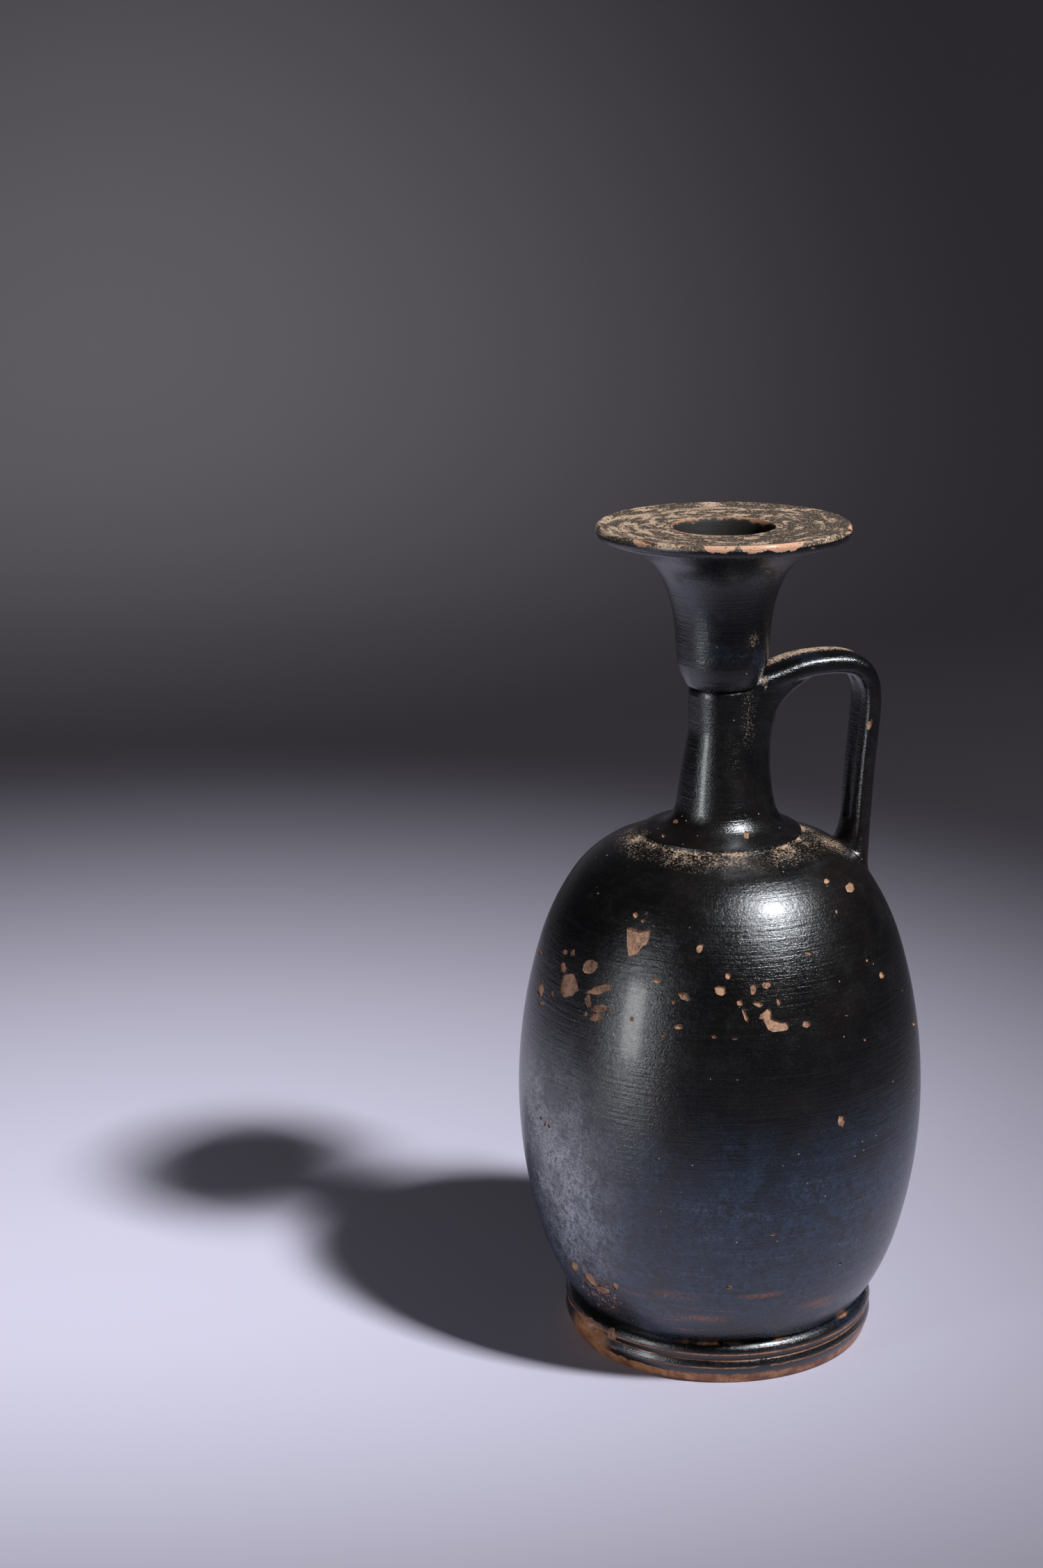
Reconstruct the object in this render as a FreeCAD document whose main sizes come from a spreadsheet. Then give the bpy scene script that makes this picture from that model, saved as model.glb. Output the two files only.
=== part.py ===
import FreeCAD, Part
import math
import os
import re
import Sketcher

# One-piece fired clay oil jug: turned body, ring foot, narrow neck, trumpet mouth and a strap handle.
# Millimetres, +Z up, the origin at the centre of the foot's resting face, the handle towards +X.

# Driving sizes. Heights stack up from the foot, so a longer neck lifts the mouth and the handle.
SIZES = {
    # Foot: a bevelled lower ring, a groove and a rounded upper ring round a recess
    "foot_rest_radius": 36.5,
    "foot_rest_width": 7.0,
    "foot_recess_depth": 7.0,
    "foot_recess_slope": 4.0,
    "foot_bevel_height": 2.8,
    "foot_ring_radius": 37.4,
    "foot_ring_bulge": 0.4,
    "foot_ring_bulge_height": 4.4,
    "foot_groove_height": 6.0,
    "foot_groove_radius": 37.0,
    "foot_collar_radius": 37.8,
    "foot_collar_height": 7.7,
    "foot_collar_round": 1.2,
    "foot_collar_edge": 1.3,
    "foot_height": 10.0,
    "foot_joint_radius": 35.7,
    # Body: a swell up to the widest ring, and over the shoulder to the neck
    "belly_radius": 48.8,
    "belly_rise": 51.0,
    "swell_inset": 4.9,
    "swell_drop": 34.0,
    "shoulder_rise": 65.0,
    "shoulder_spring_inset": 5.45,
    "shoulder_spring_drop": 27.1,
    "shoulder_turn_inset": 12.9,
    "shoulder_turn_drop": 11.4,
    "shoulder_brow_inset": 21.0,
    "shoulder_brow_drop": 3.7,
    # Neck: a low step on the shoulder, a flange, a flare and a slim waist
    "neck_base_radius": 19.2,
    "neck_base_step": 0.6,
    "neck_flange_radius": 15.5,
    "neck_flange_rise": 1.5,
    "neck_flare_radius": 10.7,
    "neck_flare_rise": 6.9,
    "neck_radius": 7.85,
    "neck_waist_rise": 25.0,
    "neck_length": 37.0,
    # Mouth: a chamfered step, a trumpet and a broad flat lip with a dished top
    "mouth_length": 37.0,
    "mouth_step_width": 0.45,
    "mouth_step_radius": 10.5,
    "mouth_step_height": 3.8,
    "trumpet_neck_radius": 11.3,
    "trumpet_neck_rise": 12.7,
    "trumpet_turn_radius": 13.5,
    "trumpet_turn_drop": 14.3,
    "trumpet_brim_radius": 21.2,
    "trumpet_brim_drop": 5.8,
    "lip_radius": 29.6,
    "lip_round": 1.0,
    "lip_edge": 0.5,
    "lip_thickness": 3.2,
    "lip_dish": 0.9,
    "lip_dish_width": 4.0,
    # Hollow: the walls, the floor and the narrow way through the neck
    "wall": 3.6,
    "floor_thickness": 6.5,
    "floor_radius": 24.0,
    "floor_round": 11.0,
    "neck_bore_radius": 5.2,
    "neck_bore_throat": 7.7,
    "funnel_radius": 7.8,
    "funnel_height": 9.0,
    "mouth_bore_radius": 11.9,
    "mouth_bore_depth": 4.0,
    "bore_chamfer": 0.9,
    # Handle: a strap with two reeds on its outer face
    "handle_width": 12.0,
    "handle_thickness": 4.9,
    "handle_edge": 1.5,
    "reed_groove": 1.2,
    "handle_lift": 4.8,
    "handle_inset": 9.5,
    "handle_run": 6.5,
    "handle_arch_radius": 27.9,
    "handle_bend_radius": 6.0,
    "handle_lean": 3.8,
    # Roots: the web that runs down the neck and the spread on the shoulder
    "web_reach": 4.2,
    "web_width": 14.0,
    "web_flare": 4.3,
    "web_crotch": 7.0,
    "web_nose": 4.0,
    "root_width": 14.8,
    "root_spread": 5.6,
    "root_inset": 1.3,
    "root_height": 9.0,
}

doc = FreeCAD.newDocument("Lekythos")
sheet = doc.addObject("Spreadsheet::Sheet", "Sizes")
for row, (name, number) in enumerate(SIZES.items(), start=1):
    sheet.set("A%d" % row, name)
    sheet.set("B%d" % row, str(number))
    sheet.setAlias("B%d" % row, name)
doc.recompute()

# Levels, as sums of the stacked heights
BELLY = "(foot_height + belly_rise)"
NECK_BASE = "(foot_height + belly_rise + shoulder_rise)"
NECK_TOP = "(foot_height + belly_rise + shoulder_rise + neck_length)"
TOP = "(foot_height + belly_rise + shoulder_rise + neck_length + mouth_length)"
RIM = "(" + TOP + " - lip_dish)"


def tie(text):
    # The expression that the document reads, with every size taken from the sheet
    return re.sub(r"[a-z_]+", lambda word: ("Sizes." if word.group(0) in SIZES else "") + word.group(0), text)


def number(text):
    return float(sheet.evalExpression(tie(text)))


def new_sketch(body, name, plane, lift="0", rise="0"):
    # A sketch on one of the body's own planes, lifted along the plane's normal and raised along its second axis
    sketch = body.newObject("Sketcher::SketchObject", name)
    origin_plane = [item for item in body.Origin.OriginFeatures if item.Role == plane][0]
    sketch.AttachmentSupport = [(origin_plane, "")]
    sketch.MapMode = "FlatFace"
    sketch.setExpression(".AttachmentOffset.Base.z", tie(lift))
    sketch.setExpression(".AttachmentOffset.Base.y", tie(rise))
    return sketch


def bind(sketch, kind, target, text):
    # One signed coordinate of a point, measured from the sketch's origin and tied to the sheet
    geometry, position = target
    size = number(text)
    if abs(size) < 1e-9:
        axis = -2 if kind == "DistanceX" else -1
        sketch.addConstraint(Sketcher.Constraint("PointOnObject", geometry, position, axis))
        return
    if size > 0:
        index = sketch.addConstraint(Sketcher.Constraint(kind, -1, 1, geometry, position, size))
        sketch.setExpression("Constraints[%d]" % index, tie(text))
    else:
        index = sketch.addConstraint(Sketcher.Constraint(kind, geometry, position, -1, 1, -size))
        sketch.setExpression("Constraints[%d]" % index, tie("-(" + text + ")"))


def across(direction, chord):
    # An arc leaves and arrives at the same angle to its chord, one on each side
    return chord * (2 * direction.dot(chord)) - direction


def chord_of(places, step):
    return (places[step + 1] - places[step]).normalize()


def leaving(places, rules, step):
    # The direction in which a step of an outline starts
    chord, rule = chord_of(places, step), rules[step]
    upright = FreeCAD.Vector(0, math.copysign(1, chord.y), 0)
    level = FreeCAD.Vector(math.copysign(1, chord.x), 0, 0)
    if rule == "line":
        return chord
    if rule == "arc on":
        return arriving(places, rules, step - 1)
    if rule == "arc into":
        return across(leaving(places, rules, step + 1), chord)
    if rule == "arc from upright":
        return upright
    if rule == "arc to upright":
        return across(upright, chord)
    return level if rule == "arc from level" else across(level, chord)


def arriving(places, rules, step):
    chord = chord_of(places, step)
    return chord if rules[step] == "line" else across(leaving(places, rules, step), chord)


def add_outline(sketch, start, steps):
    # A closed outline from a start point. Each step is a line or an arc to its end point, and an arc has one rule
    # for its direction: on from the last step, into the next one, or upright or level at one of its ends.
    rules = [rule for rule, x, y in steps]
    spots = [start] + [(x, y) for rule, x, y in steps]
    places = [FreeCAD.Vector(number(x), number(y), 0) for x, y in spots]
    begins, ends = [], []
    for step, rule in enumerate(rules):
        here, there = places[step], places[step + 1]
        if rule == "line":
            index = sketch.addGeometry(Part.LineSegment(here, there), False)
            begin, end = (index, 1), (index, 2)
        else:
            heading = leaving(places, rules, step)
            side = FreeCAD.Vector(-heading.y, heading.x, 0)
            reach = there - here
            radius = reach.dot(reach) / (2 * reach.dot(side))
            centre = here + side * radius
            first, last = here - centre, there - centre
            turns_left = radius > 0
            if not turns_left:
                first, last = last, first
            circle = Part.Circle(centre, FreeCAD.Vector(0, 0, 1), abs(radius))
            arc = Part.ArcOfCircle(circle, math.atan2(first.y, first.x), math.atan2(last.y, last.x))
            index = sketch.addGeometry(arc, False)
            begin, end = ((index, 1), (index, 2)) if turns_left else ((index, 2), (index, 1))
        begins.append(begin)
        ends.append(end)
    count = len(rules)
    for step in range(count):
        bind(sketch, "DistanceX", begins[step], spots[step][0])
        bind(sketch, "DistanceY", begins[step], spots[step][1])
        following = (step + 1) % count
        smooth = rules[step] == "arc into" or rules[following] == "arc on"
        kind = "Tangent" if smooth else "Coincident"
        sketch.addConstraint(Sketcher.Constraint(kind, *ends[step], *begins[following]))
        if rules[step] in ("arc from upright", "arc from level", "arc to upright", "arc to level"):
            place = begins[step] if "from" in rules[step] else ends[step]
            kind = "Horizontal" if "upright" in rules[step] else "Vertical"
            sketch.addConstraint(Sketcher.Constraint(kind, *place, begins[step][0], 3))


def turned_outline():
    rest_inner = "(foot_rest_radius - foot_rest_width)"
    rim_edge = "mouth_bore_radius + bore_chamfer"
    start = ("0", "foot_recess_depth")
    foot = [
        ("line", rest_inner + " - foot_recess_slope", "foot_recess_depth"),
        ("line", rest_inner, "0"),
        ("line", "foot_rest_radius", "0"),
        ("line", "foot_ring_radius", "foot_bevel_height"),
        ("line", "foot_ring_radius + foot_ring_bulge", "foot_ring_bulge_height"),
        ("line", "foot_groove_radius", "foot_groove_height"),
        ("line", "foot_collar_radius", "foot_collar_height"),
        ("line", "foot_collar_radius - foot_collar_round / 4", "foot_height - foot_collar_edge / 2"),
        ("line", "foot_collar_radius - foot_collar_round", "foot_height"),
        ("line", "foot_joint_radius", "foot_height"),
    ]
    body = [
        ("arc into", "belly_radius - swell_inset", BELLY + " - swell_drop"),
        ("arc to upright", "belly_radius", BELLY),
        ("arc from upright", "belly_radius - shoulder_spring_inset", NECK_BASE + " - shoulder_spring_drop"),
        ("arc on", "belly_radius - shoulder_turn_inset", NECK_BASE + " - shoulder_turn_drop"),
        ("arc into", "belly_radius - shoulder_brow_inset", NECK_BASE + " - shoulder_brow_drop"),
        ("line", "neck_base_radius", NECK_BASE),
    ]
    neck = [
        ("line", "neck_base_radius", NECK_BASE + " + neck_base_step"),
        ("line", "neck_flange_radius", NECK_BASE + " + neck_flange_rise"),
        ("arc on", "neck_flare_radius", NECK_BASE + " + neck_flare_rise"),
        ("arc to upright", "neck_radius", NECK_BASE + " + neck_waist_rise"),
        ("line", "neck_radius + mouth_step_width", NECK_TOP),
    ]
    mouth = [
        ("line", "mouth_step_radius", NECK_TOP + " + mouth_step_height"),
        ("line", "trumpet_neck_radius", NECK_TOP + " + trumpet_neck_rise"),
        ("arc on", "trumpet_turn_radius", TOP + " - trumpet_turn_drop"),
        ("arc on", "trumpet_brim_radius", TOP + " - trumpet_brim_drop"),
        ("arc on", "lip_radius - lip_round", TOP + " - lip_thickness"),
        ("line", "lip_radius", TOP + " - lip_thickness + lip_round"),
        ("line", "lip_radius", TOP + " - lip_edge"),
        ("line", "lip_radius - lip_edge", TOP),
        ("line", "lip_radius - lip_round - lip_dish_width", RIM),
        ("line", rim_edge, RIM),
        ("line", "0", RIM),
        ("line", "0", "foot_recess_depth"),
    ]
    return start, foot + body + neck + mouth


def hollow_outline():
    floor_level = "(foot_recess_depth + floor_thickness)"
    inside = "(belly_radius - wall)"
    clear = TOP + " + wall"
    start = ("0", floor_level)
    steps = [
        ("line", "floor_radius", floor_level),
        ("line", "belly_radius - swell_inset - wall", floor_level + " + floor_round"),
        ("line", inside, BELLY),
        ("line", "belly_radius - shoulder_spring_inset - wall", NECK_BASE + " - shoulder_spring_drop"),
        ("line", "belly_radius - shoulder_turn_inset - wall", NECK_BASE + " - shoulder_turn_drop - wall * 0.6"),
        ("line", "belly_radius - shoulder_brow_inset - wall * 0.3", NECK_BASE + " - shoulder_brow_drop - wall"),
        ("line", "neck_bore_radius + neck_bore_throat", NECK_BASE + " - wall * 0.9"),
        ("line", "neck_bore_radius", NECK_BASE + " + wall"),
        ("line", "neck_bore_radius", NECK_TOP + " - wall"),
        ("line", "funnel_radius", NECK_TOP + " + funnel_height"),
        ("line", "mouth_bore_radius", TOP + " - mouth_bore_depth"),
        ("line", "mouth_bore_radius", RIM + " - bore_chamfer"),
        ("line", "mouth_bore_radius + bore_chamfer", RIM),
        ("line", "mouth_bore_radius + bore_chamfer", clear),
        ("line", "0", clear),
        ("line", "0", floor_level),
    ]
    return start, steps


def revolve(body, name, feature, outline):
    sketch = new_sketch(body, name + "Outline", "XZ_Plane")
    start, steps = outline
    add_outline(sketch, start, steps)
    turned = body.newObject(feature, name)
    turned.Profile = sketch
    turned.ReferenceAxis = (sketch, ["V_Axis"])
    turned.Angle = 360
    return turned


STRAP_LEVEL = "(" + NECK_TOP + " + handle_lift - handle_thickness / 2)"
STRAP_OUT = "(belly_radius - handle_inset - handle_thickness / 2)"
STRAP_APEX = "(" + STRAP_OUT + " - handle_bend_radius - handle_run)"
ROOT_LEVEL = "(" + NECK_BASE + " - shoulder_turn_drop - wall)"


def strap_section():
    # A flat inner face with rounded edges, and two reeds with a groove between them on the outer face
    half, deep = "handle_width / 2", "handle_thickness / 2"
    reed = "handle_width / 4"
    start = ("-(" + half + " - handle_edge)", "-(" + deep + ")")
    steps = [
        ("line", half + " - handle_edge", "-(" + deep + ")"),
        ("arc to upright", half, "-(" + deep + " - handle_edge)"),
        ("line", half, deep + " - handle_edge"),
        ("arc to level", reed, deep),
        ("arc on", "0", deep + " - reed_groove"),
        ("arc into", "-(" + reed + ")", deep),
        ("arc from level", "-(" + half + ")", deep + " - handle_edge"),
        ("line", "-(" + half + ")", "-(" + deep + " - handle_edge)"),
        ("arc from upright", "-(" + half + " - handle_edge)", "-(" + deep + ")"),
    ]
    return start, steps


def strap(body):
    # One section at the top of the arch, swept outwards and down to the shoulder, and inwards to the neck
    section = new_sketch(body, "StrapSection", "YZ_Plane", STRAP_APEX, STRAP_LEVEL)
    add_outline(section, *strap_section())

    apex, level, out = number(STRAP_APEX), number(STRAP_LEVEL), number(STRAP_OUT)
    bend, lean = number("handle_bend_radius"), number("handle_lean")
    leaned = FreeCAD.Rotation(FreeCAD.Vector(0, 0, 1), -lean)
    down = leaned.multVec(FreeCAD.Vector(0, -1, 0))
    centre = FreeCAD.Vector(out - bend, level - bend, 0)
    turn_end = centre + leaned.multVec(FreeCAD.Vector(bend, 0, 0))
    foot = turn_end + down * ((turn_end.y - number(ROOT_LEVEL)) / -down.y)
    outward = new_sketch(body, "StrapPath", "XZ_Plane")
    turn_start = FreeCAD.Vector(centre.x, level, 0)
    outward.addGeometry(Part.LineSegment(FreeCAD.Vector(apex, level, 0), turn_start), False)
    middle = centre + FreeCAD.Vector(bend, bend, 0).normalize() * bend
    outward.addGeometry(Part.Arc(turn_start, middle, turn_end), False)
    outward.addGeometry(Part.LineSegment(turn_end, foot), False)
    bind(outward, "DistanceX", (0, 1), STRAP_APEX)
    bind(outward, "DistanceY", (0, 1), STRAP_LEVEL)
    outward.addConstraint(Sketcher.Constraint("Horizontal", 0))
    # the arc runs anticlockwise in the sketch, so its end is at the top of the bend
    outward.addConstraint(Sketcher.Constraint("Tangent", 0, 2, 1, 2))
    outward.addConstraint(Sketcher.Constraint("Tangent", 1, 1, 2, 1))
    radius = outward.addConstraint(Sketcher.Constraint("Radius", 1, bend))
    outward.setExpression("Constraints[%d]" % radius, tie("handle_bend_radius"))
    bind(outward, "DistanceX", (1, 3), STRAP_OUT + " - handle_bend_radius")
    bind(outward, "DistanceY", (2, 2), ROOT_LEVEL)
    tilt = outward.addConstraint(Sketcher.Constraint("Angle", 2, 2, -2, 1, math.radians(lean)))
    outward.setExpression("Constraints[%d]" % tilt, tie("handle_lean * 1 deg"))

    arch = number("handle_arch_radius")
    hub = FreeCAD.Vector(apex, level - arch, 0)
    tip_x = number("neck_radius")
    tip = FreeCAD.Vector(tip_x, hub.y + (arch ** 2 - (apex - tip_x) ** 2) ** 0.5, 0)
    half_way = (apex + tip_x) / 2
    crown = FreeCAD.Vector(half_way, hub.y + (arch ** 2 - (apex - half_way) ** 2) ** 0.5, 0)
    inward = new_sketch(body, "ArchPath", "XZ_Plane")
    inward.addGeometry(Part.Arc(FreeCAD.Vector(apex, level, 0), crown, tip), False)
    bind(inward, "DistanceX", (0, 1), STRAP_APEX)
    bind(inward, "DistanceY", (0, 1), STRAP_LEVEL)
    bind(inward, "DistanceX", (0, 3), STRAP_APEX)
    swing = inward.addConstraint(Sketcher.Constraint("Radius", 0, arch))
    inward.setExpression("Constraints[%d]" % swing, tie("handle_arch_radius"))
    bind(inward, "DistanceX", (0, 2), "neck_radius")

    doc.recompute()
    for name, path in (("Strap", outward), ("Arch", inward)):
        sweep = body.newObject("PartDesign::AdditivePipe", name)
        sweep.Profile = section
        sweep.Spine = path
        doc.recompute()


def root_section(inner, outer, width):
    # A level slice of a root: flat towards the axis, with a rounded nose outwards
    half = "(" + width + ") / 2"
    brow = "(" + inner + ") * 0.25 + (" + outer + ") * 0.75"
    start = (inner, "-(" + half + ")")
    steps = [
        ("line", "(" + inner + ") * 0.65 + (" + outer + ") * 0.35", "-(" + half + ")"),
        ("arc on", brow, "-(" + half + ") * 0.78"),
        ("arc on", outer, "-web_nose / 2"),
        ("line", outer, "web_nose / 2"),
        ("arc into", brow, half + " * 0.78"),
        ("arc into", "(" + inner + ") * 0.65 + (" + outer + ") * 0.35", half),
        ("line", inner, half),
        ("line", inner, "-(" + half + ")"),
    ]
    return start, steps


def loft(body, name, slices):
    sections = []
    for count, (level, outline) in enumerate(slices, start=1):
        section = new_sketch(body, "%sSlice%d" % (name, count), "XY_Plane", level)
        add_outline(section, *outline)
        sections.append(section)
    doc.recompute()
    blend = body.newObject("PartDesign::AdditiveLoft", name)
    blend.Profile = sections[0]
    blend.Sections = sections[1:]
    blend.Ruled = False
    doc.recompute()


def neck_web(body):
    # The handle's clay is smeared down the neck, and turns under the strap in a rounded crotch
    reach = "neck_radius + web_reach"
    flare, crotch = reach + " + web_flare * ", reach + " + web_crotch * "
    loft(body, "NeckWeb", [
        (NECK_BASE + " + neck_base_step", root_section("0", flare + "1", "web_width * 0.95")),
        (NECK_BASE + " + neck_flare_rise", root_section("0", flare + "0.2", "web_width")),
        (NECK_BASE + " + neck_waist_rise * 0.65", root_section("0", reach, "web_width")),
        (NECK_BASE + " + neck_waist_rise", root_section("0", crotch + "0.08", "web_width * 0.98")),
        (NECK_TOP + " - handle_thickness", root_section("0", crotch + "0.4", "web_width * 0.93")),
        (NECK_TOP + " - handle_thickness * 0.3", root_section("0", crotch + "1", "handle_width * 0.95")),
    ])


def shoulder_root(body):
    # The strap spreads where it meets the shoulder, most of all towards the neck
    inner = STRAP_OUT + " - handle_thickness / 2 - root_spread * "
    outer = STRAP_OUT + " + handle_thickness / 2 - root_inset * "
    low = "(" + NECK_BASE + " - shoulder_turn_drop)"
    loft(body, "ShoulderRoot", [
        (ROOT_LEVEL, root_section(inner + "1.4", outer + "0", "root_width * 1.1")),
        (low, root_section(inner + "1", outer + "0.7", "root_width")),
        (low + " + root_height * 0.45", root_section(inner + "0.5", outer + "1", "root_width * 0.9")),
        (low + " + root_height", root_section(inner + "0.2", outer + "2", "handle_width * 0.85")),
    ])


jug = doc.addObject("PartDesign::Body", "Lekythos")
jug.Label = "lekythos"
revolve(jug, "Turned", "PartDesign::Revolution", turned_outline())
doc.recompute()
neck_web(jug)
strap(jug)
shoulder_root(jug)
solid_volume = jug.Shape.Volume
revolve(jug, "Hollow", "PartDesign::Groove", hollow_outline())
doc.recompute()

for item in doc.Objects:
    if "Invalid" in item.State or "Error" in item.State:
        raise RuntimeError("%s failed: %s" % (item.Name, item.State))
if jug.Shape.isNull() or not jug.Shape.isValid():
    raise RuntimeError("the jug's shape is not valid")
if jug.Shape.Volume >= solid_volume:
    raise RuntimeError("the hollow removed nothing")

os.makedirs("parts", exist_ok=True)
jug.Shape.exportStep("parts/%s.step" % jug.Label)
print("%s %.0f mm3, hollow %.0f ml" % (jug.Label, jug.Shape.Volume, (solid_volume - jug.Shape.Volume) / 1000))
print("box", jug.Shape.BoundBox)
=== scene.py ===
import bpy
import math
import random
from mathutils import Matrix, Vector


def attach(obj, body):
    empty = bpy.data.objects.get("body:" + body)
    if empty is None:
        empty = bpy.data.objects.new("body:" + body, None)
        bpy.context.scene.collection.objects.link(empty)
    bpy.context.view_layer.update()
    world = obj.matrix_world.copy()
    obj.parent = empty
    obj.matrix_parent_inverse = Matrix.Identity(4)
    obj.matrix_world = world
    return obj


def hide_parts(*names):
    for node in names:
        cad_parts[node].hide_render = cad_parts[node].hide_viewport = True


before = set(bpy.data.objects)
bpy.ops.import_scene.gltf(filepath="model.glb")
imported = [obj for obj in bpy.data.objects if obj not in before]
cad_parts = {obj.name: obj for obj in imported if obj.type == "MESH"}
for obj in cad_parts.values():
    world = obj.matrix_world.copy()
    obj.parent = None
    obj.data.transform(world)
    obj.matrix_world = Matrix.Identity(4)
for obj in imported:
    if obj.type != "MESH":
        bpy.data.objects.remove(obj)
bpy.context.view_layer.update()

mm = 0.001

# View: the lens and the place of the camera, in millimetres, before the jug's handle is turned to +X
view = {
    "lens": 62.88,
    "sensor": 36.0,
    "nearest": 0.01,
    "place": (-47.3, -624.6, 311.9),
    "pitch": 15.56,
    "roll": 0.68,
    "handleTurn": 17.0,
    "imageWidth": 1500,
    "imageHeight": 2255,
}


def deselectAll():
    for item in list(bpy.context.selected_objects):
        item.select_set(False)


def makeActive(piece, *others):
    deselectAll()
    for item in (piece, *others):
        item.select_set(True)
    bpy.context.view_layer.objects.active = piece


def editMode():
    bpy.ops.object.mode_set(mode="EDIT")


def objectMode():
    bpy.ops.object.mode_set(mode="OBJECT")


def editAll(piece):
    makeActive(piece)
    editMode()
    bpy.ops.mesh.select_all(action="SELECT")


def pointOutwards():
    bpy.ops.mesh.select_all(action="SELECT")
    bpy.ops.mesh.normals_make_consistent(inside=False)
    objectMode()


def applyPlace(piece):
    makeActive(piece)
    bpy.ops.object.transform_apply(location=True, rotation=True, scale=True)


def drawOut(across, up, back=0.0):
    bpy.ops.mesh.extrude_region_move(TRANSFORM_OT_translate={"value": (across, back, up)})


def selectVerts(piece, test):
    # picks points by their place, from object mode, and leaves the piece in edit mode
    makeActive(piece)
    editMode()
    bpy.ops.mesh.select_mode(type="VERT")
    bpy.ops.mesh.select_all(action="DESELECT")
    objectMode()
    for vert in piece.data.vertices:
        vert.select = test(vert.co)
    editMode()


def applyModifier(piece, kind, **settings):
    makeActive(piece)
    modifier = piece.modifiers.new(kind.title(), kind)
    for name, value in settings.items():
        setattr(modifier, name, value)
    bpy.ops.object.modifier_apply(modifier=modifier.name)


def remove(piece):
    bpy.data.objects.remove(piece, do_unlink=True)


def takeActive(name):
    piece = bpy.context.view_layer.objects.active
    piece.name = name
    piece.data.name = name
    return piece


# Camera
def makeCamera():
    pitch, roll = math.radians(view["pitch"]), math.radians(view["roll"])
    forward = Vector((0, math.cos(pitch), -math.sin(pitch)))
    up = Vector((0, math.sin(pitch), math.cos(pitch)))
    right = Vector((1, 0, 0))
    leanRight = right * math.cos(roll) - up * math.sin(roll)
    leanUp = right * math.sin(roll) + up * math.cos(roll)
    axes = Matrix((leanRight, leanUp, -forward)).transposed().to_4x4()
    place = Matrix.Translation(Vector(view["place"]) * mm) @ axes
    bpy.ops.object.camera_add()
    camera = bpy.context.object
    camera.matrix_world = Matrix.Rotation(math.radians(-view["handleTurn"]), 4, "Z") @ place
    camera.data.lens = view["lens"]
    camera.data.sensor_width = view["sensor"]
    camera.data.clip_start = view["nearest"]
    bpy.context.scene.camera = camera
    bpy.context.view_layer.update()
    print("camera at", tuple(round(v, 3) for v in camera.matrix_world.translation))
    return camera


camera = makeCamera()


def viewRay(x, y):
    # the ray from the camera through a pixel of the photograph
    focal = view["lens"] / view["sensor"] * view["imageHeight"]
    aim = Vector((x - view["imageWidth"] / 2, view["imageHeight"] / 2 - y, -focal))
    turned = camera.matrix_world.to_3x3() @ aim
    return camera.matrix_world.translation.copy(), turned.normalized()


# Turned body. Each step is a line, an arc that goes on from the last step, or an arc that leaves at an angle
# in degrees, and ends at a radius and a height in millimetres.
jugShape = {
    "name": "blackGlossJug",
    "steps": 256,
    "outerStart": (0, 7.0),
    "foot": [
        ("line", 22.5, 7.0), (0, 28.9, 1.2), ("line", 29.4, 0.25), ("line", 30.0, 0.0),
        ("line", 36.2, 0.0), ("line", 36.55, 0.35), ("line", 37.35, 2.7), ("line", 37.5, 3.0),
        (75, 37.75, 4.2), ("on", 37.15, 5.7), ("line", 37.05, 6.05), ("line", 37.65, 7.45),
        ("line", 37.75, 7.75), (92, 36.9, 9.5), ("on", 36.2, 9.95), ("line", 35.75, 10.15),
    ],
    "body": [
        (54.6, 43.9, 27.0), ("on", 48.8, 61.0), ("on", 43.3, 98.9), ("on", 35.95, 114.6),
        ("on", 27.8, 122.3), ("line", 19.6, 125.75), ("line", 19.25, 125.75),
    ],
    "neck": [
        ("line", 19.15, 126.1), (90, 18.5, 126.9), ("line", 15.5, 127.6), ("on", 10.74, 132.85),
        ("on", 7.85, 151.0), ("line", 7.95, 157.0), ("line", 8.05, 160.9), ("line", 7.7, 161.5),
        ("line", 8.5, 162.1),
    ],
    "mouth": [
        ("line", 9.9, 165.0), ("line", 10.3, 166.2), ("on", 10.65, 167.6), ("line", 11.3, 175.74),
        ("on", 13.51, 185.67), ("on", 20.3, 193.6), ("line", 20.6, 193.75), ("on", 28.3, 196.7),
        ("on", 29.55, 198.2), ("line", 29.6, 199.0), (92, 28.9, 199.9), ("line", 25.5, 199.4),
        ("line", 14.0, 199.15), ("line", 0, 199.15),
    ],
    "outerSpacing": 1.25,
    "hollowStart": (0, 206.0),
    "hollow": [
        ("line", 13.4, 206.0), ("line", 12.5, 199.5), ("line", 11.9, 198.9), ("line", 11.6, 198.0),
        ("line", 11.4, 195.5), ("line", 7.8, 172.0), ("line", 4.9, 159.4), ("line", 4.9, 129.6),
        ("line", 12.9, 122.8), ("line", 26.7, 118.7), (-39.2, 39.8, 98.9), ("on", 45.2, 61.0),
        ("on", 40.3, 24.5), ("line", 24.0, 13.5), ("line", 0, 13.5),
    ],
    "hollowSpacing": 3.0,
    "hollowSteps": 96,
    "straightBelow": 1e-4,
    "mergeWithin": 0.00002,
    "smoothAngle": 38,
}


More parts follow.
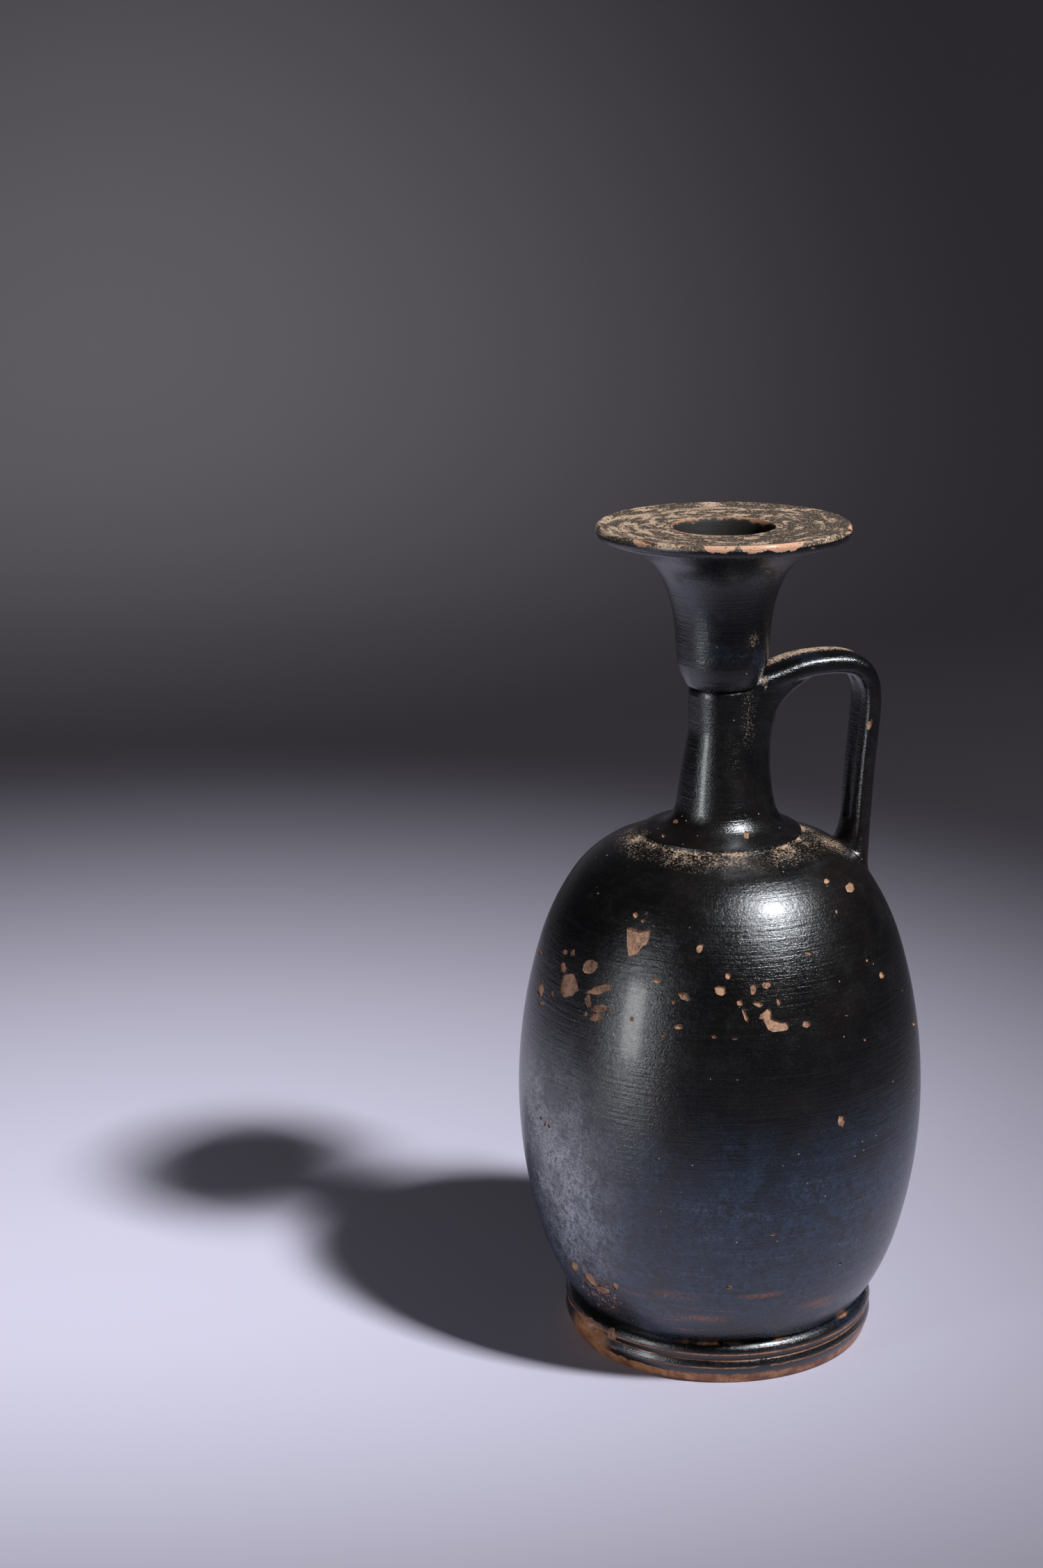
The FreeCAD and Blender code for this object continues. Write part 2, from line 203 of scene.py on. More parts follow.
def outlinePoints(start, steps, spacing):
    points = [Vector(start)]
    heading = Vector((1, 0))
    for kind, radius, height in steps:
        here, there = points[-1], Vector((radius, height))
        chord = there - here
        along = chord.normalized()
        if kind == "line":
            count = max(1, round(chord.length / spacing))
            points += [here.lerp(there, step / count) for step in range(1, count + 1)]
            heading = along
            continue
        if kind != "on":
            heading = Vector((math.cos(math.radians(kind)), math.sin(math.radians(kind))))
        half = math.atan2(heading.x * along.y - heading.y * along.x, heading.dot(along))
        curved = abs(half) > jugShape["straightBelow"]
        arcLength = chord.length * (half / math.sin(half) if curved else 1)
        count = max(2, round(arcLength / spacing))
        for step in range(1, count + 1):
            part = step / count
            turn = half * part
            reach = chord.length * (math.sin(turn) / math.sin(half) if curved else part)
            angle = math.atan2(heading.y, heading.x) + turn
            points.append(here + Vector((math.cos(angle), math.sin(angle))) * reach)
        finish = math.atan2(heading.y, heading.x) + 2 * half
        heading = Vector((math.cos(finish), math.sin(finish)))
    return points


def spinOutline(name, points, steps):
    # a plane merged to one point, drawn out along the outline and spun round the upright axis
    bpy.ops.mesh.primitive_plane_add(size=mm, location=(points[0].x * mm, 0, points[0].y * mm))
    piece = takeActive(name)
    applyPlace(piece)
    editMode()
    bpy.ops.mesh.select_mode(type="VERT")
    bpy.ops.mesh.select_all(action="SELECT")
    bpy.ops.mesh.merge(type="CENTER")
    for here, there in zip(points, points[1:]):
        drawOut((there.x - here.x) * mm, (there.y - here.y) * mm)
    bpy.ops.mesh.select_all(action="SELECT")
    bpy.ops.mesh.spin(steps=steps, angle=2 * math.pi, center=(0, 0, 0), axis=(0, 0, 1))
    bpy.ops.mesh.select_all(action="SELECT")
    bpy.ops.mesh.remove_doubles(threshold=jugShape["mergeWithin"])
    pointOutwards()
    return piece


# Handle: the middle line of the strap in the plane through the axis, and its section
handle = {
    "path": [
        (5.0, 161.0), (9.5, 162.2), (13.5, 163.3), (17.0, 164.6), (21.0, 165.25), (25.0, 165.45),
        (29.0, 165.35), (32.3, 164.75), (34.9, 162.9), (36.4, 160.2), (36.9, 156.6), (36.7, 151.5),
        (36.1, 145.5), (35.5, 139.0), (35.0, 131.5), (34.6, 124.5), (34.3, 117.0), (34.1, 112.0),
    ],
    "pathFineness": 8,
    "pathOrder": 4,
    "slimFrom": 9,
    "slim": 0.94,
    "width": 12.2,
    "thickness": 5.3,
    "squareness": 3.0,
    "reedGroove": 0.9,
    "reedGap": 1.3,
    "sectionPoints": 44,
    "mergeWithin": 0.00001,
    "voxel": 0.45,
}

# Web on the neck and root on the shoulder: level slices, each (height, middle, half length, half width)
roots = {
    "neckWeb": [
        (125.8, 3.0, 14.5, 8.4), (128.2, 3.0, 12.3, 7.9), (131.0, 3.0, 10.6, 7.4), (135.0, 3.0, 9.7, 7.1),
        (141.0, 3.0, 9.0, 6.9), (146.5, 3.0, 8.95, 6.9), (151.0, 3.4, 9.1, 6.8), (154.5, 4.4, 9.2, 6.6),
        (157.5, 5.9, 9.9, 6.3), (160.0, 7.5, 11.5, 6.0), (162.2, 9.5, 13.5, 5.6),
    ],
    "shoulderRoot": [
        (108.0, 31.6, 6.8, 9.6), (112.5, 32.2, 5.3, 9.0), (115.2, 32.6, 4.3, 8.2), (117.6, 32.95, 3.65, 7.4),
        (120.0, 33.4, 3.1, 6.7), (123.0, 33.95, 2.65, 6.1), (126.0, 34.35, 2.4, 5.6),
    ],
    "slicePoints": 40,
    "coreFrom": 109.0,
    "coreTo": 157.0,
    "coreSteps": 160,
    "coreFromAxis": 1,
    "coreInset": 0.14,
    "coreNear": 1.0,
    "coreHalfWidth": 15.0,
    "meltHeight": 127.0,
    "meltRadius": 17.5,
    "meltStrength": 0.5,
    "evenRounds": 4,
    "meltRounds": 16,
}


def sectionCurve():
    half, deep = handle["width"] / 2, handle["thickness"] / 2
    power = 2 / handle["squareness"]
    spots = []
    for index in range(handle["sectionPoints"]):
        angle = 2 * math.pi * index / handle["sectionPoints"]
        across = half * math.copysign(abs(math.cos(angle)) ** power, math.cos(angle))
        out = deep * math.copysign(abs(math.sin(angle)) ** power, math.sin(angle))
        if out > 0:
            out -= handle["reedGroove"] * math.exp(-((across / handle["reedGap"]) ** 2))
        spots.append((out, across))
    curve = bpy.data.curves.new("strapSection", "CURVE")
    curve.dimensions = "2D"
    line = curve.splines.new("POLY")
    line.points.add(len(spots) - 1)
    for point, (out, across) in zip(line.points, spots):
        point.co = (out * mm, across * mm, 0, 1)
    line.use_cyclic_u = True
    section = bpy.data.objects.new("strapSection", curve)
    bpy.context.collection.objects.link(section)
    return section


def makeStrap():
    section = sectionCurve()
    curve = bpy.data.curves.new("strapPath", "CURVE")
    curve.dimensions = "2D"
    curve.resolution_u = handle["pathFineness"]
    line = curve.splines.new("NURBS")
    line.points.add(len(handle["path"]) - 1)
    for index, (out, height) in enumerate(handle["path"]):
        line.points[index].co = (out * mm, height * mm, 0, 1)
        line.points[index].radius = handle["slim"] if index >= handle["slimFrom"] else 1.0
    line.order_u = handle["pathOrder"]
    line.use_endpoint_u = True
    curve.bevel_mode = "OBJECT"
    curve.bevel_object = section
    curve.use_fill_caps = True
    strap = bpy.data.objects.new("strap", curve)
    bpy.context.collection.objects.link(strap)
    makeActive(strap)
    bpy.ops.object.convert(target="MESH")
    strap = bpy.context.object
    strap.rotation_euler = (math.pi / 2, 0, 0)
    applyPlace(strap)
    editAll(strap)
    bpy.ops.mesh.remove_doubles(threshold=handle["mergeWithin"])
    pointOutwards()
    remove(section)
    return strap


def stackSlices(name, slices):
    # a filled circle drawn up through level slices, each an oval
    height, middle, length, width = slices[0]
    bpy.ops.mesh.primitive_circle_add(vertices=roots["slicePoints"], radius=mm, fill_type="NGON",
                                      location=(middle * mm, 0, height * mm))
    piece = takeActive(name)
    piece.scale = (length, width, 1)
    applyPlace(piece)
    editAll(piece)
    last = slices[0]
    for now in slices[1:]:
        drawOut((now[1] - last[1]) * mm, (now[0] - last[0]) * mm)
        bpy.ops.transform.resize(value=(now[2] / last[2], now[3] / last[3], 1),
                                 center_override=(now[1] * mm, 0, now[0] * mm))
        last = now
    pointOutwards()
    return piece


def cutAway(piece, place, normal):
    editAll(piece)
    bpy.ops.mesh.bisect(plane_co=place, plane_no=normal, use_fill=True, clear_outer=True)
    objectMode()


def makeCore(outer):
    # the part of the turned body that the handle's clay is worked into, a hair below the surface
    inside = [p for p in outer
              if roots["coreFrom"] <= p.y <= roots["coreTo"] and p.x > roots["coreFromAxis"]]
    edge = [Vector((0, inside[0].y))] + inside + [Vector((0, inside[-1].y))]
    core = spinOutline("core", edge, roots["coreSteps"])
    editAll(core)
    bpy.ops.transform.shrink_fatten(value=-roots["coreInset"] * mm)
    objectMode()
    half = roots["coreHalfWidth"] * mm
    cutAway(core, (roots["coreNear"] * mm, 0, 0), (-1, 0, 0))
    cutAway(core, (0, half, 0), (0, 1, 0))
    cutAway(core, (0, -half, 0), (0, -1, 0))
    return core


def meltTogether(piece):
    # even out the whole handle a little, and the places where it joins the neck and the shoulder a lot
    melt = piece.vertex_groups.new(name="melt")
    near = [v.index for v in piece.data.vertices
            if v.co.x < roots["meltRadius"] * mm or v.co.z < roots["meltHeight"] * mm]
    melt.add(near, 1.0, "REPLACE")
    strength = roots["meltStrength"]
    applyModifier(piece, "SMOOTH", factor=strength, iterations=roots["evenRounds"])
    applyModifier(piece, "SMOOTH", factor=strength, iterations=roots["meltRounds"], vertex_group="melt")


def makeHandle(outer):
    parts = [makeStrap(), stackSlices("neckWeb", roots["neckWeb"]),
             stackSlices("shoulderRoot", roots["shoulderRoot"]), makeCore(outer)]
    makeActive(*parts)
    bpy.ops.object.join()
    piece = takeActive("handle")
    applyModifier(piece, "REMESH", mode="VOXEL", voxel_size=handle["voxel"] * mm)
    meltTogether(piece)
    print("handle", len(piece.data.polygons), "faces")
    return piece


def combine(piece, other, operation):
    applyModifier(piece, "BOOLEAN", operation=operation, object=other, solver="EXACT")
    remove(other)


slip = bpy.data.materials.new("blackSlip")
clay = bpy.data.materials.new("bareClay")
inner = bpy.data.materials.new("insideClay")
surfaces = [slip, clay, inner]


def setSurface(piece, surface):
    piece.data.materials.clear()
    for each in surfaces:
        piece.data.materials.append(each)
    for face in piece.data.polygons:
        face.material_index = surfaces.index(surface)


outerSteps = jugShape["foot"] + jugShape["body"] + jugShape["neck"] + jugShape["mouth"]
outer = outlinePoints(jugShape["outerStart"], outerSteps, jugShape["outerSpacing"])
jug = spinOutline(jugShape["name"], outer, jugShape["steps"])
print("turned body", len(jug.data.polygons), "faces")
grip = makeHandle(outer)
hollowLine = outlinePoints(jugShape["hollowStart"], jugShape["hollow"], jugShape["hollowSpacing"])
hollow = spinOutline("hollow", hollowLine, jugShape["hollowSteps"])
setSurface(jug, slip)
setSurface(grip, slip)
setSurface(hollow, inner)
combine(jug, grip, "UNION")
combine(jug, hollow, "DIFFERENCE")
print("jug", len(jug.data.polygons), "faces")

# Flakes where the slip came off. Each is placed by its pixel in the photograph (across, down), and its width
# and height are millimetres as the camera sees it, then its turn in degrees.
chips = {
    "depth": 0.3,
    "proud": 0.6,
    "sides": 14,
    "largeFrom": 1.5,
    "fewestCorners": 4,
    "ragged": 0.2,
    "seed": 11,
    "pixelsPerMm": 5.95,
    "flakes": {
        "ovalLeft": (818, 1418, 4.3, 6.0, 8), "lobeLeft": (810, 1393, 1.6, 2.6, 10),
        "heart": (849, 1390, 3.5, 3.2, 0), "hookBar": (863, 1423, 6.4, 1.9, 17),
        "hookSide": (846, 1440, 1.3, 3.7, 8), "hookFoot": (863, 1450, 4.7, 1.7, 4),
        "underOval": (858, 1463, 3.1, 2.0, 0), "underDot": (842, 1458, 1.0, 1.3, 0),
        "edgeTall": (778, 1423, 1.3, 3.6, -8), "edgeDot": (794, 1430, 0.9, 1.7, 0),
        "edgeLow": (779, 1444, 1.5, 1.2, 0), "edgeHigh": (777, 1370, 0.8, 1.5, 0),
        "highDot": (812, 1370, 1.2, 1.5, -30), "highDotRight": (824, 1370, 1.0, 1.7, 0),
        "aboveLeft": (914, 1316, 1.1, 1.4, 0), "aboveRight": (930, 1313, 0.6, 0.8, 0),
        "aboveLow": (925, 1324, 0.9, 1.0, 0), "midLeft": (944, 1410, 2.0, 1.3, -20),
        "midBird": (985, 1433, 3.2, 1.7, -30), "midBirdDot": (969, 1441, 0.8, 1.1, 0),
        "midEye": (976, 1477, 2.1, 1.2, 0), "midLow": (955, 1489, 1.3, 1.2, 30),
        "amber": (909, 1466, 1.2, 1.3, 0), "midTall": (1007, 1363, 1.6, 2.3, -25),
        "midHigh": (1047, 1403, 1.3, 1.7, 0), "midRound": (1036, 1424, 2.8, 2.2, -25),
        "slitLeft": (1027, 1491, 1.3, 0.8, -30), "slitRight": (1057, 1494, 1.2, 0.5, 0),
        "sliverTop": (1064, 1442, 1.6, 1.5, -30), "sliver": (1072, 1460, 0.9, 4.2, 18),
        "rightBlock": (1084, 1422, 1.5, 2.7, -8), "rightKite": (1103, 1416, 2.2, 1.9, 20),
        "rightArrow": (1090, 1444, 2.3, 1.3, -15), "rightTall": (1120, 1441, 1.0, 2.0, 0),
        "rightBean": (1160, 1472, 2.1, 1.8, 25), "smallAmber": (1163, 1371, 1.7, 0.9, -10),
        "brow": (1189, 1267, 1.5, 1.4, 0), "browPale": (1223, 1277, 2.1, 2.6, 20),
        "dot": (1203, 1310, 0.6, 1.2, 0), "rightEye": (1268, 1402, 1.1, 1.8, 0),
        "rightDot": (1247, 1381, 0.6, 0.9, 0), "fleck": (1218, 1460, 0.8, 0.5, 0),
        "edgeFleck": (1314, 1472, 0.5, 0.9, 0), "lowFleck": (1244, 1495, 0.5, 0.8, 0),
        "nut": (1210, 1611, 1.7, 3.0, 0), "lowAmber": (940, 1574, 0.6, 0.9, 0),
        "pinLeft": (778, 1608, 0.5, 1.0, 20), "pinMid": (784, 1616, 0.5, 1.2, -10),
        "pinAmber": (791, 1619, 1.1, 1.0, 0), "lowPale": (1111, 1775, 1.5, 0.7, -5),
        "tick": (1049, 1851, 1.5, 0.9, 0), "lowRight": (1208, 1817, 0.9, 0.8, 0),
        "stepLeft": (972, 1181, 1.3, 1.1, 0), "stepLow": (954, 1202, 0.8, 0.7, 0),
        "stepMid": (1074, 1201, 1.3, 1.9, 15), "gripTall": (1251, 1041, 1.2, 2.6, -20),
        "gripLow": (1265, 1053, 0.5, 1.2, 0), "gripLast": (1262, 1071, 0.5, 1.3, 0),
        "gripTop": (1268, 965, 0.6, 0.8, 0), "rimLeft": (931, 781, 4.0, 0.9, -12),
        "rimRight": (1221, 765, 1.8, 0.9, 20), "scuffTop": (826, 1822, 1.6, 2.6, 15),
        "scuffLong": (850, 1841, 1.7, 4.6, 40), "scuffFoot": (866, 1856, 3.2, 1.7, -18),
        "scuffOval": (885, 1850, 1.3, 1.9, 25), "crumbOne": (884, 1868, 0.9, 0.7, 30),
        "crumbTwo": (892, 1874, 0.7, 0.9, 0), "crumbThree": (881, 1880, 1.1, 0.6, -20),
        "crumbFour": (870, 1872, 0.8, 0.6, 0), "crumbFive": (860, 1876, 0.9, 0.5, -30),
        "crumbSix": (846, 1862, 0.7, 0.6, 0), "crumbSeven": (838, 1850, 0.6, 0.9, 0),
        "crumbEight": (868, 1840, 0.9, 0.6, 20),
    },
    # the larger ones follow their real edges: corners in millimetres from their pixel, across and up
    "traced": {
        "squareFlake": (918, 1353, [
            (-2.7, 3.0), (-1.7, 3.2), (-0.3, 2.7), (1.2, 2.5), (3.0, 2.7), (3.0, 1.5), (2.2, -0.7),
            (1.0, -1.3), (-0.3, -3.2), (-2.3, -3.7), (-2.7, -0.7)]),
        "bigFlake": (1114, 1468, [
            (-2.5, 2.3), (-1.5, 3.2), (-0.8, 2.5), (-0.7, 0.7), (1.7, -0.3), (3.0, -0.2), (3.5, -1.3),
            (3.2, -2.2), (1.7, -2.5), (-0.3, -2.7), (-1.5, -2.2), (-2.8, 0.3), (-3.7, 0.5), (-3.5, 1.7)]),
    },
}


def hitJug(x, y):
    origin, aim = viewRay(x, y)
    found, place, normal, index = jug.ray_cast(origin, aim)
    return (place, normal) if found else None


def flakeCutter(name, x, y, corners):
    # a prism that follows the surface, from a little above it down to the flake's floor
    scale = chips["pixelsPerMm"]
    hits = [hitJug(x + across * scale, y - up * scale) for across, up in corners]
    hits = [hit for hit in hits if hit]
    if len(hits) < chips["fewestCorners"]:
        print("flake missed the jug:", name)
        return None
    bpy.ops.mesh.primitive_circle_add(vertices=len(hits), radius=mm, fill_type="NGON")
    cutter = takeActive(name)
    middle = sum((normal for place, normal in hits), Vector()).normalized()
    for vert, (place, normal) in zip(cutter.data.vertices, hits):
        vert.co = place + middle * chips["proud"] * mm
    editAll(cutter)
    bpy.ops.mesh.extrude_region_move(
        TRANSFORM_OT_translate={"value": -middle * (chips["proud"] + chips["depth"]) * mm})
    bpy.ops.mesh.select_all(action="SELECT")
    bpy.ops.mesh.quads_convert_to_tris()
    pointOutwards()
    return cutter


def raggedOval(wide, high, turn, dice):
    corners = []
    sides = chips["sides"] if max(wide, high) > chips["largeFrom"] else chips["sides"] // 2
    lean = math.radians(turn)
    for index in range(sides):
        angle = 2 * math.pi * index / sides
        swell = 1 + dice.uniform(-chips["ragged"], chips["ragged"])
        across, up = math.cos(angle) * wide / 2 * swell, math.sin(angle) * high / 2 * swell
        corners.append((across * math.cos(lean) - up * math.sin(lean),
                        across * math.sin(lean) + up * math.cos(lean)))
    return corners


def cutFlakes():
    bpy.context.view_layer.update()
    dice = random.Random(chips["seed"])
    cutters = [flakeCutter(name, x, y, raggedOval(wide, high, turn, dice))
               for name, (x, y, wide, high, turn) in chips["flakes"].items()]
    cutters += [flakeCutter(name, x, y, corners) for name, (x, y, corners) in chips["traced"].items()]
    cutters = [cutter for cutter in cutters if cutter]
    makeActive(*cutters)
    bpy.ops.object.join()
    cutter = takeActive("flakeCutter")
    setSurface(cutter, clay)
    combine(jug, cutter, "DIFFERENCE")
    print("flakes", len(cutters), "cut, jug", len(jug.data.polygons), "faces")


cutFlakes()

# Lumps of clay stuck to the left of the foot: pixel across and down, and width in millimetres
lumps = {
    "spots": {"upperLump": (851, 1906, 3.8), "lowerLump": (880, 1921, 3.4)},
    "sunk": 0.25,
    "fineness": 4,
    "uneven": 0.12,
    "seed": 3,
    "softness": 0.5,
    "softRounds": 2,
}


def addLumps():
    for name, (x, y, wide) in lumps["spots"].items():
        place, normal = hitJug(x, y)
        bpy.ops.mesh.primitive_ico_sphere_add(subdivisions=lumps["fineness"], radius=wide / 2 * mm,
                                              location=place - normal * wide * lumps["sunk"] * mm)
        lump = takeActive(name)
        applyPlace(lump)
        editAll(lump)
        bpy.ops.transform.vertex_random(offset=lumps["uneven"] * mm, uniform=1.0, normal=0.0,
                                        seed=lumps["seed"])
        bpy.ops.mesh.vertices_smooth(factor=lumps["softness"], repeat=lumps["softRounds"])
        objectMode()
        setSurface(lump, clay)
        combine(jug, lump, "UNION")
    print("lumps added, jug", len(jug.data.polygons), "faces")


addLumps()
makeActive(jug)
bpy.ops.object.shade_smooth_by_angle(angle=math.radians(jugShape["smoothAngle"]))


# Surfaces. Every pattern reads the jug's own coordinates, in millimetres.
def addNode(tree, kind, feeds=None, **settings):
    node = tree.nodes.new(kind)
    for name, value in settings.items():
        setattr(node, name, value)
    for socket, value in (feeds or {}).items():
        if isinstance(value, bpy.types.NodeSocket):
            tree.links.new(value, node.inputs[socket])
        else:
            node.inputs[socket].default_value = value
    return node


def calc(tree, operation, *values):
    return addNode(tree, "ShaderNodeMath", dict(enumerate(values)), operation=operation).outputs[0]


def part(tree, mask, share):
    return calc(tree, "MULTIPLY", mask, share)


def added(tree, value, share, base):
    # base with a share of the value on top, as where a grain makes an edge ragged
    return calc(tree, "MULTIPLY_ADD", value, share, base)


def atLeast(tree, mask, least):
    # a mask that never falls below the least
    return added(tree, mask, 1 - least, least)


def both(tree, *masks):
    result = masks[0]
    for mask in masks[1:]:
        result = part(tree, result, mask)
    return result


def either(tree, *masks):
    result = masks[0]
    for mask in masks[1:]:
        result = calc(tree, "MAXIMUM", result, mask)
    return result


def rise(tree, value, low, high):
    # 0 below low and 1 above high, or the other way round when low is the larger
    flip = low > high
    feeds = {"Value": value, "From Min": min(low, high), "From Max": max(low, high),
             "To Min": 1.0 if flip else 0.0, "To Max": 0.0 if flip else 1.0}
    return addNode(tree, "ShaderNodeMapRange", feeds, interpolation_type="SMOOTHSTEP").outputs["Result"]


def between(tree, value, low, high, soft):
    return both(tree, rise(tree, value, low - soft, low + soft), rise(tree, value, high + soft, high - soft))


def grain(tree, place, scale, detail=3.0, roughness=0.55, warp=0.0):
    feeds = {"Vector": place, "Scale": scale, "Detail": detail, "Roughness": roughness, "Distortion": warp}
    return addNode(tree, "ShaderNodeTexNoise", feeds).outputs["Fac"]


def stretched(tree, place, across, up):
    feeds = {"Vector": place, "Scale": (across, across, up)}
    return addNode(tree, "ShaderNodeMapping", feeds).outputs["Vector"]


def colorMix(tree, mask, first, second):
    feeds = {0: mask}
    for socket, color in ((6, first), (7, second)):
        feeds[socket] = color if isinstance(color, bpy.types.NodeSocket) else (*color, 1)
    return addNode(tree, "ShaderNodeMix", feeds, data_type="RGBA").outputs[2]


def numberMix(tree, mask, first, second):
    return addNode(tree, "ShaderNodeMix", {0: mask, 2: first, 3: second}, data_type="FLOAT").outputs[0]


def takeAway(tree, place, middle):
    return addNode(tree, "ShaderNodeVectorMath", {0: place, 1: middle}, operation="SUBTRACT").outputs[0]


def lengthOf(tree, shift):
    return addNode(tree, "ShaderNodeVectorMath", {0: shift}, operation="LENGTH").outputs["Value"]


def nearSpot(tree, place, x, y, radius, soft, squash=1.0):
    # 1 around the place on the jug that a pixel of the photograph shows, 0 away from it
    shift = takeAway(tree, place, hitJug(x, y)[0] / mm)
    away = lengthOf(tree, stretched(tree, shift, 1.0, squash))
    return rise(tree, away, radius + soft, max(radius - soft, 0.0))


def jugPlace(material):
    material.use_nodes = True
    tree = material.node_tree
    metres = addNode(tree, "ShaderNodeTexCoord").outputs["Object"]
    return tree, stretched(tree, metres, 1 / mm, 1 / mm)


def axesOf(tree, place):
    return addNode(tree, "ShaderNodeSeparateXYZ", {"Vector": place}).outputs


glossTint = (0.90, 0.94, 1.0, 1.0)


def finishSurface(tree, color, roughness, bumps, look):
    shader = tree.nodes["Principled BSDF"]
    tree.links.new(color, shader.inputs["Base Color"])
    tree.links.new(roughness, shader.inputs["Roughness"])
    feeds = {"Height": bumps, "Strength": 1.0, "Distance": look["bumpDepth"] * mm}
    bump = addNode(tree, "ShaderNodeBump", feeds)
    tree.links.new(bump.outputs["Normal"], shader.inputs["Normal"])
    shader.inputs["Coat Weight"].default_value = look["coat"]
    shader.inputs["Coat Roughness"].default_value = look["coatRoughness"]
    shader.inputs["Specular IOR Level"].default_value = look["specular"]
    shader.inputs["Specular Tint"].default_value = glossTint


slipLook = {
    "black": (0.0022, 0.0022, 0.0025),
    "brownBlack": (0.0075, 0.0055, 0.0045),
    "greyBlack": (0.016, 0.0165, 0.019),
    "blue": (0.018, 0.037, 0.080),
    "bluePale": (0.058, 0.082, 0.130),
    # silvery tone on the left of the belly: partly the real film, partly a painted sheen for the lit floor's
    # reflection
    "silverFilmAndSheen": (0.42, 0.44, 0.48),
    "dust": (0.50, 0.35, 0.24),
    "dustThin": (0.11, 0.085, 0.065),
    "red": (0.24, 0.070, 0.028),
    "orange": (0.36, 0.135, 0.045),
    "orangePale": (0.46, 0.22, 0.10),
    "orangeDeep": (0.20, 0.065, 0.018),
    "clay": (0.55, 0.30, 0.19),
    "speck": (0.42, 0.37, 0.30),
    "gloss": 0.24,
    "glossSpread": 0.16,
    "dotRoughness": 0.06,
    "wornRoughness": 0.85,
    "specular": 0.85,
    "coat": 0.25,
    "coatRoughness": 0.13,
    "bumpDepth": 0.16,
}

# Grains of the slip: patterns per millimetre, detail, roughness and warp
slipGrain = {
    "broad": (0.045, 3.0, 0.6, 0.6),
    "mottle": (0.16, 5.0, 0.62, 0.4),
    "cloud": (0.55, 5.0, 0.65),
    "fine": (2.2, 3.0, 0.6),
    "dots": (1.5, 2.0, 0.75),
    "brown": (0.05, 4.0, 0.65, 1.2),
    "pits": (0.75, 3.0, 0.6),
    "dust": (1.9, 3.0, 0.8),
    "flecks": (0.26, 5.0, 0.7, 0.4),
    "loops": (0.36, 2.0, 0.5, 1.5),
    "rare": (0.09, 2.0),
    "skin": (2.0, 3.0, 0.65),
}

# Grains drawn out round the jug: patterns per millimetre across and up, detail, roughness and warp
slipBrush = {
    "lines": (0.03, 0.95, 4.0, 0.6),
    "streaks": (0.06, 0.42, 4.0, 0.62, 0.3),
    "redStreaks": (0.05, 0.50, 4.0, 0.65, 0.8),
    "turning": (0.06, 1.7, 4.0, 0.65),
}

# Places on the slip: pixel across and down, then radius, soft edge and squash, in millimetres on the jug
slipSpots = {
    # the two silvery spots mark where a painted sheen lies over the real film
    "silverLow": (806, 1700, 12.0, 11.0, 0.55),
    "silverHigh": (768, 1600, 6.0, 8.0, 0.6),
    "redMiddle": (1014, 1896, 5.0, 3.5, 5.0),
    "redLeft": (975, 1863, 5.0, 4.0, 5.0),
    "redRight": (1095, 1863, 4.5, 2.5, 5.0),
    "redFarRight": (1174, 1873, 4.5, 3.5, 4.0),
    "neckDust": (1076, 1030, 1.2, 2.2, 0.26),
    "collarDust": (1084, 917, 1.2, 1.8, 0.7),
    "joinDust": (1100, 978, 0.5, 1.0, 0.5),
    "rootDust": (1195, 1212, 2.0, 7.0, 1.0),
    "leftDust": (915, 1207, 1.4, 3.4, 1.0),
    "footLeft": (846, 1925, 7.5, 3.0, 1.0),
    "jointMiddle": (1020, 1936, 5.5, 4.0, 1.0),
    "jointRight": (1118, 1931, 2.0, 2.0, 1.0),
    "jointFarRight": (1215, 1895, 1.5, 2.0, 1.0),
    "rimRight": (1130, 791, 4.2, 2.0),
    "rimMiddle": (1085, 794, 3.2, 2.0),
    "rimLeft": (1035, 792, 3.4, 2.0),
    "rimFarLeft": (925, 780, 2.2, 1.2),
    "rimFarRight": (1224, 764, 1.6, 1.0),
    "scuffs": (862, 1855, 4.5, 4.0),
}

